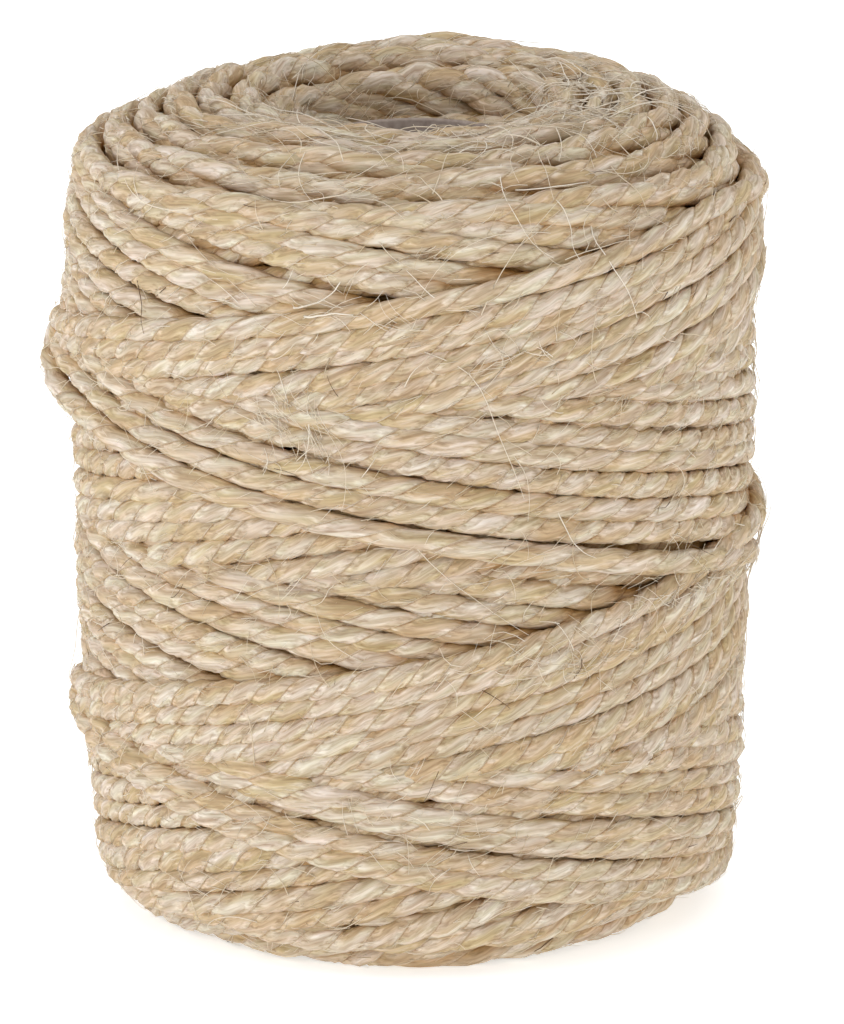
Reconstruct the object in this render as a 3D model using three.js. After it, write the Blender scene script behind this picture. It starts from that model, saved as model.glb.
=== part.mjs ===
// Roll of sisal twine: a cross-wound barrel of thick natural twine on a card core tube.
// Units are millimetres and +Z is up. The origin is the middle of the flat base.

import * as THREE from 'three';

// Core tube and bore
const CORE_OUTER_RADIUS = 16;
const CORE_WALL = 1.2;
const CORE_TOP = 120;
const CORE_SIDES = 48;
const PIECE_GAP = 0.35;
const BORE_RADIUS = CORE_OUTER_RADIUS + PIECE_GAP;
const BORE_ROWS = 5;

// Flat ring that the roll stands on
const BASE_INNER_RADIUS = 21;
const BASE_OUTER_RADIUS = 41.5;
const BASE_ROWS = 2;

// Outer form of the wound twine, from the rim of the base up the side and over the domed top
// into the bore. Each row is one level of the barrel.
const WOUND_FORM = [
  { radius: 41.5, z: 0 },
  { radius: 46.2, z: 3.4 },
  { radius: 48.8, z: 9 },
  { radius: 49.7, z: 17 },
  { radius: 50.6, z: 30 },
  { radius: 51.0, z: 44 },
  { radius: 51.9, z: 58 },
  { radius: 52.2, z: 72 },
  { radius: 52.8, z: 86 },
  { radius: 53.5, z: 99 },
  { radius: 54.1, z: 108 },
  { radius: 53.6, z: 114 },
  { radius: 51.2, z: 119.2 },
  { radius: 46.6, z: 123.2 },
  { radius: 40.5, z: 126.4 },
  { radius: 34, z: 128 },
  { radius: 28, z: 128.2 },
  { radius: 22.8, z: 126.4 },
  { radius: 19, z: 122.8 },
  { radius: 17, z: 118 },
  { radius: BORE_RADIUS, z: 112 },
];
const FORM_ROWS = 64;
const SIDES = 66;

// Cross winding: one twine climbs and falls by LEAD in each turn round the roll. RISING_Z and
// FALLING_Z are the levels at which the newest turns of each direction cross the front.
const LEAD = 58;
const RISING_Z = 48;
const FALLING_Z = 70;
const RIDGES_PER_LEAD = 5;
const RIDGE_HEIGHT = 0.85;
const LAYER_STEP = 1.7;
const STEP_WIDTH = 0.1;
const RELIEF_FADE = 9;
const RELIEF_BOTTOM = 2;
const RELIEF_TOP = 122;

// Rings of turned-back twine on the domed top
const TOP_RING_PITCH = 7.4;
const TOP_RING_HEIGHT = 1.1;
const TOP_RING_OUTER = 52;
const TOP_RING_INNER = 20;

// Places where slack turns stand out of the winding. turn is degrees round from the front,
// reach and spread are the half sizes of the swelling round and up the roll.
const SLACK_TURNS = [
  { turn: -98, z: 85, rise: 2, reach: 26, spread: 7 },
  { turn: -104, z: 31, rise: 0.8, reach: 30, spread: 8 },
  { turn: 84, z: 59.5, rise: 1.3, reach: 22, spread: 4 },
  { turn: 78, z: 110, rise: 0.6, reach: 30, spread: 7 },
  { turn: 170, z: 96, rise: 0.9, reach: 34, spread: 8 },
];

const TWINE_COLOUR = 0xc3af95;
const CARD_COLOUR = 0x8c8385;

function fraction(value) {
  return value - Math.floor(value);
}

// Thickness of one layer, greatest at its newest turn and falling away to its oldest one.
function layerThickness(age) {
  const climb = age < STEP_WIDTH ? age / STEP_WIDTH : 1;
  return climb * (1 - age) - 0.5;
}

// Relief of the crossed layers, with ridges that follow whichever direction lies on top.
function windingRelief(angle, z) {
  const turn = angle / (2 * Math.PI);
  const risingAge = fraction(turn + (RISING_Z - z) / LEAD);
  const fallingAge = fraction(turn + (z - FALLING_Z) / LEAD);
  const layers = LAYER_STEP * (layerThickness(risingAge) + layerThickness(fallingAge));
  const topAge = Math.min(risingAge, fallingAge);
  const ridges = -RIDGE_HEIGHT * Math.cos(2 * Math.PI * RIDGES_PER_LEAD * topAge);
  return layers + ridges;
}

function slackRelief(angle, z) {
  let total = 0;
  for (const slack of SLACK_TURNS) {
    const turned = THREE.MathUtils.euclideanModulo(
      THREE.MathUtils.radToDeg(angle) - slack.turn + 180, 360) - 180;
    const across = turned / slack.reach;
    const up = (z - slack.z) / slack.spread;
    total += slack.rise * Math.exp(-across * across - up * up);
  }
  return total;
}

// Rings on the top, sunk from the form, that creep inwards by one ring in each turn.
function topRingRelief(angle, radius) {
  const ring = (TOP_RING_OUTER - radius) / TOP_RING_PITCH + angle / (2 * Math.PI);
  return TOP_RING_HEIGHT * (Math.cos(2 * Math.PI * ring) - 1) / 2;
}

function relief(angle, radius, z) {
  const fromBottom = THREE.MathUtils.smoothstep(z, RELIEF_BOTTOM, RELIEF_BOTTOM + RELIEF_FADE);
  const toTop = THREE.MathUtils.smoothstep(z, RELIEF_TOP - RELIEF_FADE, RELIEF_TOP);
  const side = fromBottom * (1 - toTop) * windingRelief(angle, z);
  const onTop = radius > TOP_RING_INNER ? toTop * topRingRelief(angle, radius) : 0;
  return side + onTop + fromBottom * slackRelief(angle, z);
}

// Closed half section of the wound twine: base, outer form, bore wall and lower bore edge.
function woundProfile() {
  const form = new THREE.SplineCurve(
    WOUND_FORM.map((level) => new THREE.Vector2(level.radius, level.z)));
  const profile = [];
  for (let row = 0; row < BASE_ROWS; row++) {
    const radius = THREE.MathUtils.lerp(BASE_INNER_RADIUS, BASE_OUTER_RADIUS, row / BASE_ROWS);
    profile.push({ radius, z: 0, fixed: true });
  }
  for (const point of form.getSpacedPoints(FORM_ROWS)) {
    const fixed = point.y <= 0 || point.x <= BORE_RADIUS;
    profile.push({ radius: point.x, z: point.y, fixed });
  }
  const boreTop = WOUND_FORM[WOUND_FORM.length - 1].z;
  const boreBottom = BASE_INNER_RADIUS - BORE_RADIUS;
  for (let row = 1; row <= BORE_ROWS; row++) {
    const z = THREE.MathUtils.lerp(boreTop, boreBottom, row / BORE_ROWS);
    profile.push({ radius: BORE_RADIUS, z, fixed: true });
  }
  profile.push({ ...profile[0] });
  return profile;
}

// Outward direction of the section at one of its points.
function sectionNormal(profile, index) {
  const last = profile.length - 1;
  const before = profile[(index - 1 + last) % last];
  const after = profile[(index + 1) % last];
  return new THREE.Vector2(after.z - before.z, before.radius - after.radius).normalize();
}

function makeWinding() {
  const profile = woundProfile();
  const outline = profile.map((point) => new THREE.Vector2(point.radius, point.z));
  const geometry = new THREE.LatheGeometry(outline, SIDES);
  const position = geometry.attributes.position;
  const last = profile.length - 1;
  for (let side = 0; side <= SIDES; side++) {
    const angle = 2 * Math.PI * (side % SIDES) / SIDES;
    for (let index = 0; index <= last; index++) {
      const point = profile[index % last];
      const normal = sectionNormal(profile, index % last);
      const offset = point.fixed ? 0 : relief(angle, point.radius, point.z);
      const radius = Math.max(point.radius + offset * normal.x, BORE_RADIUS);
      const z = Math.max(point.z + offset * normal.y, 0);
      const vertex = side * profile.length + index;
      position.setXYZ(vertex, radius * Math.sin(angle), z, radius * Math.cos(angle));
    }
  }
  geometry.rotateX(Math.PI / 2);
  geometry.computeVertexNormals();
  const material = new THREE.MeshStandardMaterial({
    color: TWINE_COLOUR, roughness: 0.95, metalness: 0 });
  const winding = new THREE.Mesh(geometry, material);
  winding.name = 'twine_winding';
  return winding;
}

function makeCoreTube() {
  const inner = CORE_OUTER_RADIUS - CORE_WALL;
  const outline = [
    new THREE.Vector2(inner, 0),
    new THREE.Vector2(CORE_OUTER_RADIUS, 0),
    new THREE.Vector2(CORE_OUTER_RADIUS, CORE_TOP),
    new THREE.Vector2(inner, CORE_TOP),
    new THREE.Vector2(inner, 0),
  ];
  const geometry = new THREE.LatheGeometry(outline, CORE_SIDES);
  geometry.rotateX(Math.PI / 2);
  const material = new THREE.MeshStandardMaterial({
    color: CARD_COLOUR, roughness: 0.9, metalness: 0 });
  const tube = new THREE.Mesh(geometry, material);
  tube.name = 'core_tube';
  return tube;
}

// The slack turns make the barrel a little uneven, so its box is centred over the origin.
const roll = new THREE.Group();
roll.add(makeWinding(), makeCoreTube());
const box = new THREE.Box3().setFromObject(roll);
const middle = box.getCenter(new THREE.Vector3());
roll.position.set(-middle.x, -middle.y, 0);

export default roll;
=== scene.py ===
"""Roll of sisal twine: the looks of the wound twine, its loose fibres and its card core tube."""

import math

import bmesh
import bpy
import numpy as np
from bpy.props import FloatProperty, FloatVectorProperty, PointerProperty
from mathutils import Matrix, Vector


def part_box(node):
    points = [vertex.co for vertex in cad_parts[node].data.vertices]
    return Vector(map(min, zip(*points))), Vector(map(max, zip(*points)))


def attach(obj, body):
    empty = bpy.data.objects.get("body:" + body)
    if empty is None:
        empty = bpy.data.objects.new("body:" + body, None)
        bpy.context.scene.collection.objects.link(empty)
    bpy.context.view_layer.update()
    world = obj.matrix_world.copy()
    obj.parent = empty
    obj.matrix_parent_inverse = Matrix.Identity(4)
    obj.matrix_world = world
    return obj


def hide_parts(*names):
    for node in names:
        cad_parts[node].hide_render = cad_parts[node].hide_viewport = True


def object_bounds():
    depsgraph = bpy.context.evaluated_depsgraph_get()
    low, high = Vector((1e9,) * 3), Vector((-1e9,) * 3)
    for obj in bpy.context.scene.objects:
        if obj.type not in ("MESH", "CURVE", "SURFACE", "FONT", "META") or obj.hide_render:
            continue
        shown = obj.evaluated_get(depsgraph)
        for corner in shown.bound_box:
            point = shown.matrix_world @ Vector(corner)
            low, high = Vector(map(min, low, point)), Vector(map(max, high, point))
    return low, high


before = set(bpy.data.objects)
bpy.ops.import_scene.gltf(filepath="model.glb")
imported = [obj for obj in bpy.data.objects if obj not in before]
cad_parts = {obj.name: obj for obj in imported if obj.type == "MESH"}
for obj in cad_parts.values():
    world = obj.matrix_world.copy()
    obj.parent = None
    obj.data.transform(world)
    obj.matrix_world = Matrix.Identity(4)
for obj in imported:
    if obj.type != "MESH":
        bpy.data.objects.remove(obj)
CAD_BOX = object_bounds()

bl_info = {
    "name": "Roll of sisal twine",
    "version": (1, 0, 0),
    "blender": (4, 5, 0),
    "location": "3D View > Sidebar > Twine roll",
    "description": "Winds a roll of two ply sisal twine on a card core tube",
    "category": "Object",
}

MM = 0.001
FULL_TURN = 2 * math.pi
SEED = 4


def table(columns, *rows):
    """Rows of a table as dictionaries, by the names of its columns."""
    names = columns.split()
    return [dict(zip(names, row)) for row in rows]


# Outer form of the wound twine in millimetres, from the rim of the base up the side and over
# the domed top into the bore, as the solid has it.
WOUND_FORM = table(
    "radius z",
    (41.5, 0), (46.2, 3.4), (48.8, 9), (49.7, 17), (50.6, 30), (51.0, 44), (51.9, 58),
    (52.2, 72), (52.8, 86), (53.5, 99), (54.1, 108), (53.6, 114), (51.2, 119.2), (46.6, 123.2),
    (40.5, 126.4), (34, 128), (28, 128.2), (22.8, 126.4), (19, 122.8), (17, 118), (16.35, 112),
)
# Steps of the curve from one level to the next, radii of the flat base, and bounds of the side
FORM_STEPS = 24
BASE_INNER = 19.0
BASE_OUTER = 41.5
SIDE_LOW = 6.0
SIDE_HIGH = 112.0

# Winding. Time is counted in turns round the core from the last time the twine turned back at
# the top, which is at LAST_TOP_TURN round from the front, and runs on to LAST_END. One cycle is a
# stroke up and a stroke down, and one cover hides all that is under it.
CYCLE_TURNS = 3.94
COVER_TURNS = 65.3
COVERS = 7.6
LAST_TOP_TURN = 0.186
LAST_END = 1.27
TURN_SAMPLES = 360
CHUNK_SAMPLES = 337
STROKE_ROUNDING = 0.035
STROKE_HIGH = 126.3
OVERSHOOT = 0.4
FIRST_RADIUS = 17.6
GUIDE_RADIUS = 51.5
OUTER_LIFT = 0.5
# How a turn rests on those below it: how far it sinks between them and how much of the highest
# counts, the width in samples over which tension evens it out, and what relief is left
SINK = 0.45
SUPPORT_MIX = 0.35
TAUT_SAMPLES = 3.6
EASED_SAMPLES = 2.0
RELIEF_SHARE = 0.3
RELIEF_LOW = -1.6
RELIEF_HIGH = 2.0
# The loose end: samples over which it thins out, and how deep it is tucked in
END_SAMPLES = 12
END_DEPTH = 1.6

# Random wandering, each as (samples from knot to knot, size). The guide's is in millimetres, and
# the others are shares: of the thickness, the twist, a corner's radius and a ply's angle.
GUIDE_WANDERS = ((90, 0.5), (31, 0.17))
THICKNESS_WANDERS = ((46, 0.06), (300, 0.045))
TWIST_WANDERS = ((60, 0.1), (330, 0.15))
LUMP_WANDER = (5, 0.035)
LEAN_WANDER = (40, 0.09)

# Runs of twine in samples: what is added at each end of a run, the shortest that is kept, the
# longest that is swept in one go, and all that goes into one piece
RUN_MARGIN = 6
SHORTEST_RUN = 16
LONGEST_RUN = 2600
PIECE_SAMPLES = 6400
# Bounds of the pieces: the top is above the level and inside the first radius, and the base is
# below the level and inside the second
TOP_ABOVE = 60
TOP_INSIDE = 48
BASE_INSIDE = 44

# Maps of the surface: columns round the roll, rows of MAP_STEP millimetres
MAP_COLUMNS = 720
MAP_STEP = 0.5
MAP_LOW = -2.0
MAP_ROWS = 270
# Height over the form where there is no turn, the deepest that is told apart, and how many points
# are looked up in one go
NOT_THERE = -99
DEEPEST = -9.0
NEAREST_CHUNK = 20000
# Height over the form that the crests of the winding are brought to, the share of the surface that
# stays lower, in percent, and the width in cells over which that is eased
CROWN_LEVEL = 0.45
CROWN_PERCENT = 80
CROWN_EASE = 12
# Share by which wide hollows and humps are evened out, and the size in cells of what counts as
# wide
LEVELLING = 0.75
HOLLOW_LIMIT = -3.0
HOLLOW_ROUND = 20
HOLLOW_ALONG = 7
# Parts of the winding near its outside: beyond a radius, above a level or below another. The
# first is what is settled on the form, the second what may show.
SETTLED_ZONE = {"beyond": 36, "above": 100, "below": 20}
SHOWN_ZONE = {"beyond": 38, "above": 104, "below": 16}
# Fall of the filled surface from cell to cell, away from a crest, and the cells over which it is
# filled to tell how deep a turn lies and to lay fibres on
CREST_FALL = 0.05
CREST_REACH = 2
BED_REACH = 3

# Places where slack turns stand out of the winding. turn is in degrees round from the front,
# reach is the half width in degrees and spread the half height in millimetres. Only twine laid
# since the given time is slack, and drop is how far it has slipped down on its way past.
SLACK_TURNS = table(
    "turn radius z rise reach spread since drop",
    (-98, 53, 85, 3.2, 18, 10, -12, 0),
    (-94, 53, 89, 0.2, 15, 11, 0.1, 4),
    (-98, 51, 30, 2.1, 26, 6, -12, 0),
    (87, 52, 61, 2.2, 15, 3.2, -3, 0),
    (86, 54, 107, 2.7, 30, 6.5, -12, 0),
    (170, 53, 96, 0.9, 34, 8, -12, 0),
    (70, 52, 117, -1.4, 34, 9, -12, 0),
)
SLACK_START = 0.3
# Places where the whole roll swells or is pressed in, along the outward normal
SWELLS = table(
    "turn radius z rise reach spread",
    (-95, 52, 50, 1.2, 60, 48),
    (-98, 53, 85, 0.8, 24, 10),
    (87, 52, 60, 0.9, 18, 5),
    (-136, 44, 125, -3.9, 36, 8),
    (-104, 50, 120, 0.5, 26, 5),
    (165, 40, 127, 0.7, 24, 8),
    (75, 52, 121, -1.1, 60, 9),
    (125, 47, 123, -2.0, 30, 9),
    (90, 51, 25, 0.6, 60, 18),
    (0, 25, 127.5, -1.0, 85, 6),
    (180, 24, 127, 0.9, 80, 5),
    (-125, 19, 121, -3.4, 50, 5),
    (88, 53, 94, -1.3, 26, 4.5),
    (54, 46, 3, -3.2, 32, 9),
    (-44, 46, 3, -1.3, 22, 8),
)

# Half of the twine's section, from the furrow between its two plies round to the next one:
# degrees from the furrow, radius as a share of the twine's, and how much of it is furrow, which also
# sets the painted shade along the furrow
PLY_SECTION = table(
    "angle radius furrow",
    (0, 0.86, 1.0), (12, 0.91, 0.5), (32, 0.97, 0.12), (60, 1.03, 0.0), (90, 1.06, 0.0),
    (120, 1.03, 0.0), (148, 0.97, 0.12), (168, 0.91, 0.5),
)
PLY_CENTRE = 0.5
# Place of each ply's middle in the pattern of its fibres, so that the two differ
PLY_PATTERN = (7.0, 3.0)
# How far the pattern turns back for each turn of the twist, how flat and wide the twine is pressed
# by the turns around it, and the fewest steps of a run from ring to ring
FIBRE_UNTWIST = 1.1
PRESSED_FLAT = 0.94
PRESSED_WIDE = 1.12
FEWEST_RINGS = 4
# Depth under the crests, in millimetres, at which the painted shade of the deep parts begins, is
# full, and is no longer told apart
PAINTED_SHADE_BEGINS = 0.9
PAINTED_SHADE_FULL = 4.5
PAINTED_SHADE_DEEPEST = 6

# Kinds of loose fibre. Lengths, lifts and thicknesses are in millimetres. lean is the angle from
# the line of the twine to that of the fibre, which is the ply's for short ones, and swing is how
# far a fibre may differ from it, in degrees. all_over is how many lie on the roll outside tangles.
FIBRE_KINDS = {row["kind"]: row for row in table(
    "kind short long lift lean swing curl thick rings all_over",
    ("nap", 1.6, 4.4, 0.12, 22, 30, 0.6, 0.14, 3, 7600),
    ("fuzz", 2.5, 7, 0.6, 14, 55, 0.9, 0.13, 5, 1500),
    ("stray", 6, 15, 0.8, 0, 60, 1.1, 0.15, 8, 260),
    ("flyaway", 16, 32, 1.4, 0, 80, 0.9, 0.16, 12, 20),
    ("wisp", 8, 20, 1.5, 0, 60, 1.2, 0.2, 11, 0),
)}
# Tufts and tangles of fibre, round one point of the surface: reach is in degrees and spread in
# millimetres, and heading, in degrees up from level, may differ by swing
TANGLES = table(
    "turn radius z reach spread kind count heading swing",
    (76, 28, 128, 50, 11, "wisp", 80, 30, 70),
    (98, 33, 128, 56, 11, "fuzz", 110, 20, 90),
    (0, 33, 128, 60, 12, "wisp", 46, 15, 60),
    (25, 22, 126, 60, 3, "wisp", 40, 40, 60),
    (-80, 24, 127, 50, 5, "fuzz", 14, 0, 90),
    (12, 36, 127, 30, 6, "stray", 26, 0, 90),
    (-20, 52, 88, 6, 4, "fuzz", 60, -50, 30),
    (16, 52, 99, 12, 4, "fuzz", 26, -30, 60),
    (30, 52, 52, 12, 5, "fuzz", 24, -60, 40),
    (5, 50, 23, 16, 4, "fuzz", 28, -30, 50),
    (52, 52, 57, 22, 2, "fuzz", 40, 0, 50),
    (-10, 53, 106, 24, 3, "fuzz", 34, 0, 50),
    (26, 52, 50, 20, 3, "fuzz", 30, 10, 50),
    (88, 53, 56, 5, 3, "stray", 8, -80, 30),
    (163, 51, 44, 4, 2, "fuzz", 40, -10, 35),
)
# Single long fibres that catch the eye. heading is in degrees up from level.
LONG_FIBRES = table(
    "turn radius z length heading thick tone",
    (31, 53, 118, 17, -88, 0.24, 1.0),
    (25, 50, 122, 11, -62, 0.2, 0.9),
    (1, 53, 100, 30, -22, 0.18, 0.8),
    (-20, 53, 106, 9, 4, 0.4, 1.0),
    (-18, 53, 105, 8, 8, 0.3, 0.95),
    (-52, 53, 106, 8, -76, 0.16, 0.0),
    (3, 47, 123, 8, 62, 0.34, 0.6),
    (5, 49, 121, 8, 118, 0.3, 0.6),
    (-29, 50, 33, 9, 84, 0.3, 0.5),
    (24, 52, 74, 13, -70, 0.2, 0.9),
)
LONG_FIBRE_SHAPE = {"lift": 0.7, "curl": 0.3, "rings": 12}
# Tones run from 0, dark, to 1, pale: the width of the range that a group of fibres has, where it
# begins for the two groups, and the share of fibres that are dark instead
TONE_RANGE = 0.45
TONE_ALL_OVER = 0.35
TONE_TANGLED = 0.55
DARK_SHARE = 0.012
# Sides of a fibre, its thickness at the root and at the tip, and the ranges of thickness and of lift
# from fibre to fibre, as shares of the kind's own
FIBRE_SIDES = 3
FIBRE_TAPER = (1.1, 0.5)
THICKNESS_RANGE = (0.7, 1.3)
LIFT_RANGE = (0.15, 1.0)
# How late a fibre lifts off, how much it wanders, the share of fibres that arch up between their
# ends, and the samples over which the slope of the turn under a fibre is taken
LIFT_POWER = 1.6
FIBRE_WANDER = 0.1
ARCHED_SHARE = 0.35
SLOPE_SAMPLES = 3
# In millimetres: clearance of a fibre over the crests, depth of its root, its lowest level, and
# the radius inside which it is taken to turn no faster
FIBRE_CLEAR = 0.05
ROOT_DEPTH = 0.4
FIBRE_LOWEST = 0.2
TURNING_RADIUS = 8
# Direction that the corners of a fibre are set out from, which no fibre follows for long
ASIDE = (0.3, 0.2, 0.93)
# Depth to which a turn may lie under others and still carry loose fibres
ROOT_COVER = 0.3
# Angle of the strokes from level
STROKE_SLOPE = math.radians(10)

# Lining of the inside, behind the swept turns, in millimetres
LINING_DEPTH = 6.5
LINING_RADIUS = 18.5
LINING_LOW = 3.0
LINING_MIDDLE = 60.0
LINING_HIGH = 122.5
LINING_ROW_STEP = 6
LINING_STEPS = 96

# Card core tube, in millimetres: its wall, the softness of its worn lips, and the climb of the
# strip that it is wound from in each turn
CARD_WALL = 1.2
CARD_LIP = 0.35
CARD_CLIMB = 38
CARD_STEPS = 128
# Corners this close, in millimetres, are made one
MERGE_DISTANCE = 0.01

# Stage, in metres: half the side of the floor, how far it lies under the roll, and the camera's
# distance. The camera looks down on a point of the core at AIM, in millimetres, by a few degrees,
# and its picture is SHOWN_HEIGHT millimetres high there.
FLOOR_SIZE = 6.0
FLOOR_GAP = 0.0002
CAMERA_AWAY = 2.0
CAMERA_DROP = 14.5
CAMERA_CLIP = (0.05, 20)
SENSOR_WIDTH = 36
SHOWN_HEIGHT = 158.0
AIM = (0.9, 0, 61.2)
# Lamps round the roll: degrees round from the front and up from level, distance and size in
# metres, power in watts
LAMPS = table(
    "name turn rise away size power colour",
    ("key", -72, 10, 1.6, 2.4, 11.3, (0.95, 1.0, 1.08)),
    ("front", -25, 6, 1.9, 1.6, 3.0, (1.0, 1.0, 1.0)),
    ("fill", 70, 12, 1.8, 1.5, 1.1, (1.0, 1.0, 1.0)),
)
ROOM_LIGHT = 0.89

WHITE = (1.0, 1.0, 1.0, 1.0)
BLACK = (0.0, 0.0, 0.0, 1.0)


def linear(hex_colour):
    """Linear colour of an sRGB hex value such as C3AF95."""
    values = [int(hex_colour[place:place + 2], 16) / 255 for place in (0, 2, 4)]
    return tuple(
        value / 12.92 if value <= 0.04045 else ((value + 0.055) / 1.055) ** 2.4
        for value in values) + (1.0,)


def colour_setting(name, description, hex_colour):
    """A colour that the user can change, given as an sRGB hex value."""
    return FloatVectorProperty(
        name=name, description=description, default=linear(hex_colour), subtype="COLOR", size=4,
        min=0.0, max=1.0)


class TwineColours(bpy.types.PropertyGroup):
    """Colours of the twine, its fibres, the card and the floor"""

    straw_shade: colour_setting("Straw, shade", "Darkest of the straw coloured fibre", "A8906A")
    straw_middle: colour_setting("Straw, middle", "Most of the straw coloured fibre", "C8B08B")
    straw_light: colour_setting("Straw, light", "Lightest of the straw coloured fibre", "E5D6C0")
    pale_shade: colour_setting("Pale, shade", "Darkest of the pale fibre", "B6A38C")
    pale_middle: colour_setting("Pale, middle", "Most of the pale fibre", "D6CAB8")
    pale_light: colour_setting("Pale, light", "Lightest of the pale fibre", "F0E8DC")
    streak: colour_setting("Streaks", "Thin darker lines along the plies", "AF9772")
    green_tint: colour_setting("Green tint", "Patches of less ripe fibre", "BDB27A")
    rust_tint: colour_setting("Rust tint", "Small rusty patches", "B07A48")
    # Painted shade in the crease between the two plies
    furrow: colour_setting("Furrow", "Tint of the furrow between the two plies", "B9976A")
    # Painted shade: tan that darkens the twine far down between the turns
    deep: colour_setting("Deep", "Tint far down between the turns", "DCBB82")
    rosy: colour_setting("Rosy batches", "Tint of the rosier batches of fibre", "FFFAFC")
    mossy: colour_setting("Mossy batches", "Tint of the greener batches of fibre", "FCFFF8")
    # The inner turns are painted dark brown: painted shade deep inside the roll
    inner_painted_shade_dark: colour_setting("Inner turns, dark", "Shade deep inside the roll", "8A6636")
    inner_painted_shade_light: colour_setting("Inner turns, light", "Fibre deep inside the roll", "B88F57")
    loose_dark: colour_setting("Dark loose fibre", "The few dark loose fibres", "5E4327")
    loose_straw: colour_setting("Loose fibre", "Most of the loose fibres", "C6AF87")
    loose_pale: colour_setting("Pale loose fibre", "Palest of the loose fibres", "F5ECDD")
    card_dark: colour_setting("Card, dark", "Darker mottle of the card", "8F8178")
    card_light: colour_setting("Card, light", "Lighter mottle of the card", "AB9D93")
    floor: colour_setting("Floor", "The floor's acrylic sheet", "F4F3F2")


class TwineSizes(bpy.types.PropertyGroup):
    """Sizes of the twine and of its winding"""

    diameter: FloatProperty(
        name="Twine diameter", description="Thickness of the twine", default=3.44 * MM,
        unit="LENGTH")
    lay_length: FloatProperty(
        name="Lay length", description="Length of twine in which each ply turns once",
        default=12.4 * MM, unit="LENGTH")
    ring_spacing: FloatProperty(
        name="Ring spacing", description="Distance between the rings of the twine's mesh",
        default=1.4 * MM, unit="LENGTH")
    hidden_depth: FloatProperty(
        name="Hidden depth", description="Turns that lie deeper than this under others are left out",
        default=1.8 * MM, unit="LENGTH")


def size_of(name):
    """A size of the twine, in millimetres."""
    return getattr(bpy.context.scene.twine_sizes, name) / MM


def colour_of(name):
    """One of the colours that the user can change, as it stands now."""
    return tuple(getattr(bpy.context.scene.twine_colours, name))


# Numbers and curves


def spline_through(points, steps):
    """Uniform Catmull-Rom curve through the points, as the solid's outline has it."""
    points = np.asarray(points, float)
    ends = len(points) - 1
    share = (np.arange(steps) / steps)[:, None]
    curve = []
    for index in range(ends):
        before = points[max(index - 1, 0)]
        start, stop = points[index], points[index + 1]
        after = points[min(index + 2, ends)]
        leave, arrive = (stop - before) / 2, (after - start) / 2
        cubic = 2 * start - 2 * stop + leave + arrive
        square = -3 * start + 3 * stop - 2 * leave - arrive
        curve.append(cubic * share**3 + square * share**2 + leave * share + start)
    curve.append(points[-1:])
    return np.concatenate(curve)


def wander(rng, count, period, size):
    """Smooth random wandering along a row of samples."""
    knots = rng.normal(0, 1, int(count / period) + 4)
    place = np.arange(count) / period
    knot = place.astype(int)
    share = place - knot
    share = share * share * (3 - 2 * share)
    return size * (knots[knot] * (1 - share) + knots[knot + 1] * share)


def wandering(rng, count, wanders, start):
    """Each wandering in turn, added to where it starts."""
    return sum((wander(rng, count, period, size) for period, size in wanders), start)


def smoothed(values, width):
    """Values eased along their length with a bell of the given width in samples."""
    reach = int(3 * width)
    bell = np.exp(-0.5 * (around(reach) / width) ** 2)
    bell /= bell.sum()
    return np.convolve(np.pad(values, reach, mode="edge"), bell, "valid")


def around(reach):
    """Whole steps to each side of a place, out to a reach."""
    return np.arange(-reach, reach + 1)


def unit(vectors):
    """Vectors brought to a length of one, row by row."""
    return vectors / np.linalg.norm(vectors, axis=1)[:, None]


def column_of(turn):
    """Column of the maps at a place round the core."""
    return np.mod(np.round(turn * MAP_COLUMNS).astype(int), MAP_COLUMNS)


def cells_around(column, row, last_row, along, across):
    """Columns and rows of the map cells round each place, along the twine and across it."""
    columns = (column[:, None, None] + around(along)[None, :, None]) % MAP_COLUMNS
    rows = np.clip(row[:, None, None] + around(across)[None, None, :], 0, last_row)
    return np.broadcast_arrays(columns, rows)


class Form:
    """The outer form as an even row of points, with outward normals."""

    def __init__(self):
        rows = [(level["radius"], level["z"]) for level in WOUND_FORM]
        outer = spline_through(rows, FORM_STEPS)
        flat = np.arange(BASE_INNER, BASE_OUTER, MAP_STEP)
        base = np.stack([flat, np.zeros(len(flat))], 1)
        line = np.concatenate([base, outer])
        length = np.concatenate([[0], np.cumsum(np.linalg.norm(np.diff(line, axis=0), axis=1))])
        even = np.arange(0, length[-1], MAP_STEP)
        self.radius = np.interp(even, length, line[:, 0])
        self.z = np.interp(even, length, line[:, 1])
        self.normal = unit(np.stack([np.gradient(self.z), -np.gradient(self.radius)], 1))
        self.rows = len(even)

    def inset(self, depth):
        """Radius and height of the form moved inwards."""
        return self.radius - depth * self.normal[:, 0], self.z - depth * self.normal[:, 1]

    def nearest_row(self, place):
        """Row nearest to the radius and level that one row of a table gives."""
        return float(np.hypot(self.radius - place["radius"], self.z - place["z"]).argmin())

    def rows_and_heights(self, distance, z):
        """Row of the form nearest to each point, and the point's height over it."""
        row = np.zeros(len(z), int)
        for start in range(0, len(z), NEAREST_CHUNK):
            part = slice(start, start + NEAREST_CHUNK)
            apart = (distance[part, None] - self.radius) ** 2 + (z[part, None] - self.z) ** 2
            row[part] = apart.argmin(1)
        out = (distance - self.radius[row]) * self.normal[row, 0]
        return row, out + (z - self.z[row]) * self.normal[row, 1]


def reach_by_radius(form, depth):
    """Lowest and highest level of the twine's middle line, as functions of its radius."""
    radius, z = form.inset(depth)
    rising = np.arange(form.rows) < np.argmax(form.z)
    top = ~rising | (form.z > SIDE_HIGH)
    bottom = rising & (form.z < SIDE_LOW)
    top_order = np.argsort(radius[top])
    top_radius, top_z = radius[top][top_order], z[top][top_order]
    bottom_order = np.argsort(radius[bottom])
    bottom_radius, bottom_z = radius[bottom][bottom_order], z[bottom][bottom_order]

    def highest(at):
        return np.interp(at, top_radius, top_z)

    def lowest(at):
        return np.where(at < BASE_OUTER, depth, np.interp(at, bottom_radius, bottom_z))

    return lowest, highest


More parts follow.
